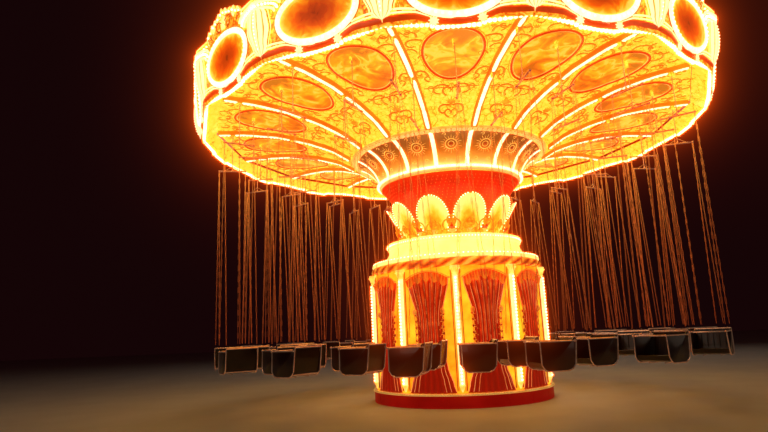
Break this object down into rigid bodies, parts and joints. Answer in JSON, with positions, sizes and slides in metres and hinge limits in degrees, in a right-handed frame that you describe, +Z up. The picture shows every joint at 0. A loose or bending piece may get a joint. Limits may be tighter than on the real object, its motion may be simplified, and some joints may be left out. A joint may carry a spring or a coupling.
{
  "type": "fairground swing carousel",
  "caption": "Swing carousel with a lit round centre house, petal crown and red bowl under a turning canopy of mirrored boards, from which three rings of seats hang on chains.",
  "frame": {"origin": "on the axis of rotation at ground level, in the middle of the plinth's underside", "axes": "+Z up along the axis of rotation, -Y towards the front that the picture shows"},
  "size_m": [11.3926, 11.3926, 9.2],
  "materials": {
    "plinth_red": "dark red gloss paint",
    "house_gold": "golden yellow painted panels between light columns",
    "rope_red": "dark red rope moulding with gold strokes",
    "cream_lit": "cream paint under rows of bulbs",
    "petal_cream": "cream moulded leaves with beaded edges",
    "bowl_red": "bright red gloss paint dotted with bulbs",
    "drum_amber": "amber and olive painted panels with rosettes",
    "ceiling_gold": "golden yellow paint with scrollwork",
    "soffit_red": "dark red paint",
    "fascia_gold": "gold and cream moulded boards with mirrors",
    "roof_red": "dark red painted roof sheets",
    "finial_gold": "polished",
    "seat_dark": "dark red seat with bright tube frame and steel chains"
  },
  "bodies": {
    "base": {"plinth": "plinth_red", "house_wall": "house_gold", "rope_frieze": "rope_red", "lit_cornice": "cream_lit", "petal_crown": "petal_cream", "red_bowl": "bowl_red"},
    "canopy": {"centre_drum": "drum_amber", "canopy_ceiling": "ceiling_gold", "rim_soffit": "soffit_red", "fascia_boards": "fascia_gold", "canopy_roof": "roof_red", "roof_finial": "finial_gold"},
    "swing_outer_01": {"swing_outer_01": "seat_dark"},
    "swing_outer_02": {"swing_outer_02": "seat_dark"},
    "swing_outer_03": {"swing_outer_03": "seat_dark"},
    "swing_outer_04": {"swing_outer_04": "seat_dark"},
    "swing_outer_05": {"swing_outer_05": "seat_dark"},
    "swing_outer_06": {"swing_outer_06": "seat_dark"},
    "swing_outer_07": {"swing_outer_07": "seat_dark"},
    "swing_outer_08": {"swing_outer_08": "seat_dark"},
    "swing_outer_09": {"swing_outer_09": "seat_dark"},
    "swing_outer_10": {"swing_outer_10": "seat_dark"},
    "swing_outer_11": {"swing_outer_11": "seat_dark"},
    "swing_outer_12": {"swing_outer_12": "seat_dark"},
    "swing_outer_13": {"swing_outer_13": "seat_dark"},
    "swing_outer_14": {"swing_outer_14": "seat_dark"},
    "swing_outer_15": {"swing_outer_15": "seat_dark"},
    "swing_outer_16": {"swing_outer_16": "seat_dark"},
    "swing_middle_01": {"swing_middle_01": "seat_dark"},
    "swing_middle_02": {"swing_middle_02": "seat_dark"},
    "swing_middle_03": {"swing_middle_03": "seat_dark"},
    "swing_middle_04": {"swing_middle_04": "seat_dark"},
    "swing_middle_05": {"swing_middle_05": "seat_dark"},
    "swing_middle_06": {"swing_middle_06": "seat_dark"},
    "swing_middle_07": {"swing_middle_07": "seat_dark"},
    "swing_middle_08": {"swing_middle_08": "seat_dark"},
    "swing_middle_09": {"swing_middle_09": "seat_dark"},
    "swing_middle_10": {"swing_middle_10": "seat_dark"},
    "swing_middle_11": {"swing_middle_11": "seat_dark"},
    "swing_middle_12": {"swing_middle_12": "seat_dark"},
    "swing_middle_13": {"swing_middle_13": "seat_dark"},
    "swing_middle_14": {"swing_middle_14": "seat_dark"},
    "swing_middle_15": {"swing_middle_15": "seat_dark"},
    "swing_middle_16": {"swing_middle_16": "seat_dark"},
    "swing_inner_01": {"swing_inner_01": "seat_dark"},
    "swing_inner_02": {"swing_inner_02": "seat_dark"},
    "swing_inner_03": {"swing_inner_03": "seat_dark"},
    "swing_inner_04": {"swing_inner_04": "seat_dark"},
    "swing_inner_05": {"swing_inner_05": "seat_dark"},
    "swing_inner_06": {"swing_inner_06": "seat_dark"},
    "swing_inner_07": {"swing_inner_07": "seat_dark"},
    "swing_inner_08": {"swing_inner_08": "seat_dark"},
    "swing_inner_09": {"swing_inner_09": "seat_dark"},
    "swing_inner_10": {"swing_inner_10": "seat_dark"},
    "swing_inner_11": {"swing_inner_11": "seat_dark"},
    "swing_inner_12": {"swing_inner_12": "seat_dark"},
    "swing_inner_13": {"swing_inner_13": "seat_dark"},
    "swing_inner_14": {"swing_inner_14": "seat_dark"},
    "swing_inner_15": {"swing_inner_15": "seat_dark"},
    "swing_inner_16": {"swing_inner_16": "seat_dark"}
  },
  "joints": [
    {"name": "canopy_spin", "type": "hinge", "parent": "base", "child": "canopy", "pos_m": [0, 0, 4.6], "axis": [0, 0, 1], "continuous": true},
    {"name": "swing_outer_01_fly", "type": "hinge", "parent": "canopy", "child": "swing_outer_01", "pos_m": [4.70077, 1.19384, 5.81264], "axis": [0.2462, -0.9692, 0], "range_deg": [0, 42]},
    {"name": "swing_outer_02_fly", "type": "hinge", "parent": "canopy", "child": "swing_outer_02", "pos_m": [3.88608, 2.90187, 5.81264], "axis": [0.5983, -0.8013, 0], "range_deg": [0, 42]},
    {"name": "swing_outer_03_fly", "type": "hinge", "parent": "canopy", "child": "swing_outer_03", "pos_m": [2.47977, 4.16812, 5.81264], "axis": [0.8594, -0.5113, 0], "range_deg": [0, 42]},
    {"name": "swing_outer_04_fly", "type": "hinge", "parent": "canopy", "child": "swing_outer_04", "pos_m": [0.69594, 4.79981, 5.81264], "axis": [0.9897, -0.1435, 0], "range_deg": [0, 42]},
    {"name": "swing_outer_05_fly", "type": "hinge", "parent": "canopy", "child": "swing_outer_05", "pos_m": [-1.19384, 4.70077, 5.81264], "axis": [0.9692, 0.2462, 0], "range_deg": [0, 42]},
    {"name": "swing_outer_06_fly", "type": "hinge", "parent": "canopy", "child": "swing_outer_06", "pos_m": [-2.90187, 3.88608, 5.81264], "axis": [0.8013, 0.5983, 0], "range_deg": [0, 42]},
    {"name": "swing_outer_07_fly", "type": "hinge", "parent": "canopy", "child": "swing_outer_07", "pos_m": [-4.16812, 2.47977, 5.81264], "axis": [0.5113, 0.8594, 0], "range_deg": [0, 42]},
    {"name": "swing_outer_08_fly", "type": "hinge", "parent": "canopy", "child": "swing_outer_08", "pos_m": [-4.79981, 0.69594, 5.81264], "axis": [0.1435, 0.9897, 0], "range_deg": [0, 42]},
    {"name": "swing_outer_09_fly", "type": "hinge", "parent": "canopy", "child": "swing_outer_09", "pos_m": [-4.70077, -1.19384, 5.81264], "axis": [-0.2462, 0.9692, 0], "range_deg": [0, 42]},
    {"name": "swing_outer_10_fly", "type": "hinge", "parent": "canopy", "child": "swing_outer_10", "pos_m": [-3.88608, -2.90187, 5.81264], "axis": [-0.5983, 0.8013, 0], "range_deg": [0, 42]},
    {"name": "swing_outer_11_fly", "type": "hinge", "parent": "canopy", "child": "swing_outer_11", "pos_m": [-2.47977, -4.16812, 5.81264], "axis": [-0.8594, 0.5113, 0], "range_deg": [0, 42]},
    {"name": "swing_outer_12_fly", "type": "hinge", "parent": "canopy", "child": "swing_outer_12", "pos_m": [-0.69594, -4.79981, 5.81264], "axis": [-0.9897, 0.1435, 0], "range_deg": [0, 42]},
    {"name": "swing_outer_13_fly", "type": "hinge", "parent": "canopy", "child": "swing_outer_13", "pos_m": [1.19384, -4.70077, 5.81264], "axis": [-0.9692, -0.2462, 0], "range_deg": [0, 42]},
    {"name": "swing_outer_14_fly", "type": "hinge", "parent": "canopy", "child": "swing_outer_14", "pos_m": [2.90187, -3.88608, 5.81264], "axis": [-0.8013, -0.5983, 0], "range_deg": [0, 42]},
    {"name": "swing_outer_15_fly", "type": "hinge", "parent": "canopy", "child": "swing_outer_15", "pos_m": [4.16812, -2.47977, 5.81264], "axis": [-0.5113, -0.8594, 0], "range_deg": [0, 42]},
    {"name": "swing_outer_16_fly", "type": "hinge", "parent": "canopy", "child": "swing_outer_16", "pos_m": [4.79981, -0.69594, 5.81264], "axis": [-0.1435, -0.9897, 0], "range_deg": [0, 42]},
    {"name": "swing_middle_01_fly", "type": "hinge", "parent": "canopy", "child": "swing_middle_01", "pos_m": [3.97138, 1.89425, 5.85077], "axis": [0.4305, -0.9026, 0], "range_deg": [0, 42]},
    {"name": "swing_middle_02_fly", "type": "hinge", "parent": "canopy", "child": "swing_middle_02", "pos_m": [2.94417, 3.26984, 5.85077], "axis": [0.7431, -0.6691, 0], "range_deg": [0, 42]},
    {"name": "swing_middle_03_fly", "type": "hinge", "parent": "canopy", "child": "swing_middle_03", "pos_m": [1.46875, 4.14762, 5.85077], "axis": [0.9426, -0.3338, 0], "range_deg": [0, 42]},
    {"name": "swing_middle_04_fly", "type": "hinge", "parent": "canopy", "child": "swing_middle_04", "pos_m": [-0.23028, 4.39397, 5.85077], "axis": [0.9986, 0.0523, 0], "range_deg": [0, 42]},
    {"name": "swing_middle_05_fly", "type": "hinge", "parent": "canopy", "child": "swing_middle_05", "pos_m": [-1.89425, 3.97138, 5.85077], "axis": [0.9026, 0.4305, 0], "range_deg": [0, 42]},
    {"name": "swing_middle_06_fly", "type": "hinge", "parent": "canopy", "child": "swing_middle_06", "pos_m": [-3.26984, 2.94417, 5.85077], "axis": [0.6691, 0.7431, 0], "range_deg": [0, 42]},
    {"name": "swing_middle_07_fly", "type": "hinge", "parent": "canopy", "child": "swing_middle_07", "pos_m": [-4.14762, 1.46875, 5.85077], "axis": [0.3338, 0.9426, 0], "range_deg": [0, 42]},
    {"name": "swing_middle_08_fly", "type": "hinge", "parent": "canopy", "child": "swing_middle_08", "pos_m": [-4.39397, -0.23028, 5.85077], "axis": [-0.0523, 0.9986, 0], "range_deg": [0, 42]},
    {"name": "swing_middle_09_fly", "type": "hinge", "parent": "canopy", "child": "swing_middle_09", "pos_m": [-3.97138, -1.89425, 5.85077], "axis": [-0.4305, 0.9026, 0], "range_deg": [0, 42]},
    {"name": "swing_middle_10_fly", "type": "hinge", "parent": "canopy", "child": "swing_middle_10", "pos_m": [-2.94417, -3.26984, 5.85077], "axis": [-0.7431, 0.6691, 0], "range_deg": [0, 42]},
    {"name": "swing_middle_11_fly", "type": "hinge", "parent": "canopy", "child": "swing_middle_11", "pos_m": [-1.46875, -4.14762, 5.85077], "axis": [-0.9426, 0.3338, 0], "range_deg": [0, 42]},
    {"name": "swing_middle_12_fly", "type": "hinge", "parent": "canopy", "child": "swing_middle_12", "pos_m": [0.23028, -4.39397, 5.85077], "axis": [-0.9986, -0.0523, 0], "range_deg": [0, 42]},
    {"name": "swing_middle_13_fly", "type": "hinge", "parent": "canopy", "child": "swing_middle_13", "pos_m": [1.89425, -3.97138, 5.85077], "axis": [-0.9026, -0.4305, 0], "range_deg": [0, 42]},
    {"name": "swing_middle_14_fly", "type": "hinge", "parent": "canopy", "child": "swing_middle_14", "pos_m": [3.26984, -2.94417, 5.85077], "axis": [-0.6691, -0.7431, 0], "range_deg": [0, 42]},
    {"name": "swing_middle_15_fly", "type": "hinge", "parent": "canopy", "child": "swing_middle_15", "pos_m": [4.14762, -1.46875, 5.85077], "axis": [-0.3338, -0.9426, 0], "range_deg": [0, 42]},
    {"name": "swing_middle_16_fly", "type": "hinge", "parent": "canopy", "child": "swing_middle_16", "pos_m": [4.39397, 0.23028, 5.85077], "axis": [0.0523, -0.9986, 0], "range_deg": [0, 42]},
    {"name": "swing_inner_01_fly", "type": "hinge", "parent": "canopy", "child": "swing_inner_01", "pos_m": [3.44077, 0.87384, 5.69146], "axis": [0.2462, -0.9692, 0], "range_deg": [0, 42]},
    {"name": "swing_inner_02_fly", "type": "hinge", "parent": "canopy", "child": "swing_inner_02", "pos_m": [2.84445, 2.12405, 5.69146], "axis": [0.5983, -0.8013, 0], "range_deg": [0, 42]},
    {"name": "swing_inner_03_fly", "type": "hinge", "parent": "canopy", "child": "swing_inner_03", "pos_m": [1.81509, 3.05089, 5.69146], "axis": [0.8594, -0.5113, 0], "range_deg": [0, 42]},
    {"name": "swing_inner_04_fly", "type": "hinge", "parent": "canopy", "child": "swing_inner_04", "pos_m": [0.5094, 3.51326, 5.69146], "axis": [0.9897, -0.1435, 0], "range_deg": [0, 42]},
    {"name": "swing_inner_05_fly", "type": "hinge", "parent": "canopy", "child": "swing_inner_05", "pos_m": [-0.87384, 3.44077, 5.69146], "axis": [0.9692, 0.2462, 0], "range_deg": [0, 42]},
    {"name": "swing_inner_06_fly", "type": "hinge", "parent": "canopy", "child": "swing_inner_06", "pos_m": [-2.12405, 2.84445, 5.69146], "axis": [0.8013, 0.5983, 0], "range_deg": [0, 42]},
    {"name": "swing_inner_07_fly", "type": "hinge", "parent": "canopy", "child": "swing_inner_07", "pos_m": [-3.05089, 1.81509, 5.69146], "axis": [0.5113, 0.8594, 0], "range_deg": [0, 42]},
    {"name": "swing_inner_08_fly", "type": "hinge", "parent": "canopy", "child": "swing_inner_08", "pos_m": [-3.51326, 0.5094, 5.69146], "axis": [0.1435, 0.9897, 0], "range_deg": [0, 42]},
    {"name": "swing_inner_09_fly", "type": "hinge", "parent": "canopy", "child": "swing_inner_09", "pos_m": [-3.44077, -0.87384, 5.69146], "axis": [-0.2462, 0.9692, 0], "range_deg": [0, 42]},
    {"name": "swing_inner_10_fly", "type": "hinge", "parent": "canopy", "child": "swing_inner_10", "pos_m": [-2.84445, -2.12405, 5.69146], "axis": [-0.5983, 0.8013, 0], "range_deg": [0, 42]},
    {"name": "swing_inner_11_fly", "type": "hinge", "parent": "canopy", "child": "swing_inner_11", "pos_m": [-1.81509, -3.05089, 5.69146], "axis": [-0.8594, 0.5113, 0], "range_deg": [0, 42]},
    {"name": "swing_inner_12_fly", "type": "hinge", "parent": "canopy", "child": "swing_inner_12", "pos_m": [-0.5094, -3.51326, 5.69146], "axis": [-0.9897, 0.1435, 0], "range_deg": [0, 42]},
    {"name": "swing_inner_13_fly", "type": "hinge", "parent": "canopy", "child": "swing_inner_13", "pos_m": [0.87384, -3.44077, 5.69146], "axis": [-0.9692, -0.2462, 0], "range_deg": [0, 42]},
    {"name": "swing_inner_14_fly", "type": "hinge", "parent": "canopy", "child": "swing_inner_14", "pos_m": [2.12405, -2.84445, 5.69146], "axis": [-0.8013, -0.5983, 0], "range_deg": [0, 42]},
    {"name": "swing_inner_15_fly", "type": "hinge", "parent": "canopy", "child": "swing_inner_15", "pos_m": [3.05089, -1.81509, 5.69146], "axis": [-0.5113, -0.8594, 0], "range_deg": [0, 42]},
    {"name": "swing_inner_16_fly", "type": "hinge", "parent": "canopy", "child": "swing_inner_16", "pos_m": [3.51326, -0.5094, 5.69146], "axis": [-0.1435, -0.9897, 0], "range_deg": [0, 42]}
  ],
  "couplings": [
    {"joint": "swing_outer_02_fly", "follows": "swing_outer_01_fly", "ratio": 1},
    {"joint": "swing_outer_03_fly", "follows": "swing_outer_01_fly", "ratio": 1},
    {"joint": "swing_outer_04_fly", "follows": "swing_outer_01_fly", "ratio": 1},
    {"joint": "swing_outer_05_fly", "follows": "swing_outer_01_fly", "ratio": 1},
    {"joint": "swing_outer_06_fly", "follows": "swing_outer_01_fly", "ratio": 1},
    {"joint": "swing_outer_07_fly", "follows": "swing_outer_01_fly", "ratio": 1},
    {"joint": "swing_outer_08_fly", "follows": "swing_outer_01_fly", "ratio": 1},
    {"joint": "swing_outer_09_fly", "follows": "swing_outer_01_fly", "ratio": 1},
    {"joint": "swing_outer_10_fly", "follows": "swing_outer_01_fly", "ratio": 1},
    {"joint": "swing_outer_11_fly", "follows": "swing_outer_01_fly", "ratio": 1},
    {"joint": "swing_outer_12_fly", "follows": "swing_outer_01_fly", "ratio": 1},
    {"joint": "swing_outer_13_fly", "follows": "swing_outer_01_fly", "ratio": 1},
    {"joint": "swing_outer_14_fly", "follows": "swing_outer_01_fly", "ratio": 1},
    {"joint": "swing_outer_15_fly", "follows": "swing_outer_01_fly", "ratio": 1},
    {"joint": "swing_outer_16_fly", "follows": "swing_outer_01_fly", "ratio": 1},
    {"joint": "swing_middle_01_fly", "follows": "swing_outer_01_fly", "ratio": 1},
    {"joint": "swing_middle_02_fly", "follows": "swing_outer_01_fly", "ratio": 1},
    {"joint": "swing_middle_03_fly", "follows": "swing_outer_01_fly", "ratio": 1},
    {"joint": "swing_middle_04_fly", "follows": "swing_outer_01_fly", "ratio": 1},
    {"joint": "swing_middle_05_fly", "follows": "swing_outer_01_fly", "ratio": 1},
    {"joint": "swing_middle_06_fly", "follows": "swing_outer_01_fly", "ratio": 1},
    {"joint": "swing_middle_07_fly", "follows": "swing_outer_01_fly", "ratio": 1},
    {"joint": "swing_middle_08_fly", "follows": "swing_outer_01_fly", "ratio": 1},
    {"joint": "swing_middle_09_fly", "follows": "swing_outer_01_fly", "ratio": 1},
    {"joint": "swing_middle_10_fly", "follows": "swing_outer_01_fly", "ratio": 1},
    {"joint": "swing_middle_11_fly", "follows": "swing_outer_01_fly", "ratio": 1},
    {"joint": "swing_middle_12_fly", "follows": "swing_outer_01_fly", "ratio": 1},
    {"joint": "swing_middle_13_fly", "follows": "swing_outer_01_fly", "ratio": 1},
    {"joint": "swing_middle_14_fly", "follows": "swing_outer_01_fly", "ratio": 1},
    {"joint": "swing_middle_15_fly", "follows": "swing_outer_01_fly", "ratio": 1},
    {"joint": "swing_middle_16_fly", "follows": "swing_outer_01_fly", "ratio": 1},
    {"joint": "swing_inner_01_fly", "follows": "swing_outer_01_fly", "ratio": 1},
    {"joint": "swing_inner_02_fly", "follows": "swing_outer_01_fly", "ratio": 1},
    {"joint": "swing_inner_03_fly", "follows": "swing_outer_01_fly", "ratio": 1},
    {"joint": "swing_inner_04_fly", "follows": "swing_outer_01_fly", "ratio": 1},
    {"joint": "swing_inner_05_fly", "follows": "swing_outer_01_fly", "ratio": 1},
    {"joint": "swing_inner_06_fly", "follows": "swing_outer_01_fly", "ratio": 1},
    {"joint": "swing_inner_07_fly", "follows": "swing_outer_01_fly", "ratio": 1},
    {"joint": "swing_inner_08_fly", "follows": "swing_outer_01_fly", "ratio": 1},
    {"joint": "swing_inner_09_fly", "follows": "swing_outer_01_fly", "ratio": 1},
    {"joint": "swing_inner_10_fly", "follows": "swing_outer_01_fly", "ratio": 1},
    {"joint": "swing_inner_11_fly", "follows": "swing_outer_01_fly", "ratio": 1},
    {"joint": "swing_inner_12_fly", "follows": "swing_outer_01_fly", "ratio": 1},
    {"joint": "swing_inner_13_fly", "follows": "swing_outer_01_fly", "ratio": 1},
    {"joint": "swing_inner_14_fly", "follows": "swing_outer_01_fly", "ratio": 1},
    {"joint": "swing_inner_15_fly", "follows": "swing_outer_01_fly", "ratio": 1},
    {"joint": "swing_inner_16_fly", "follows": "swing_outer_01_fly", "ratio": 1}
  ]
}
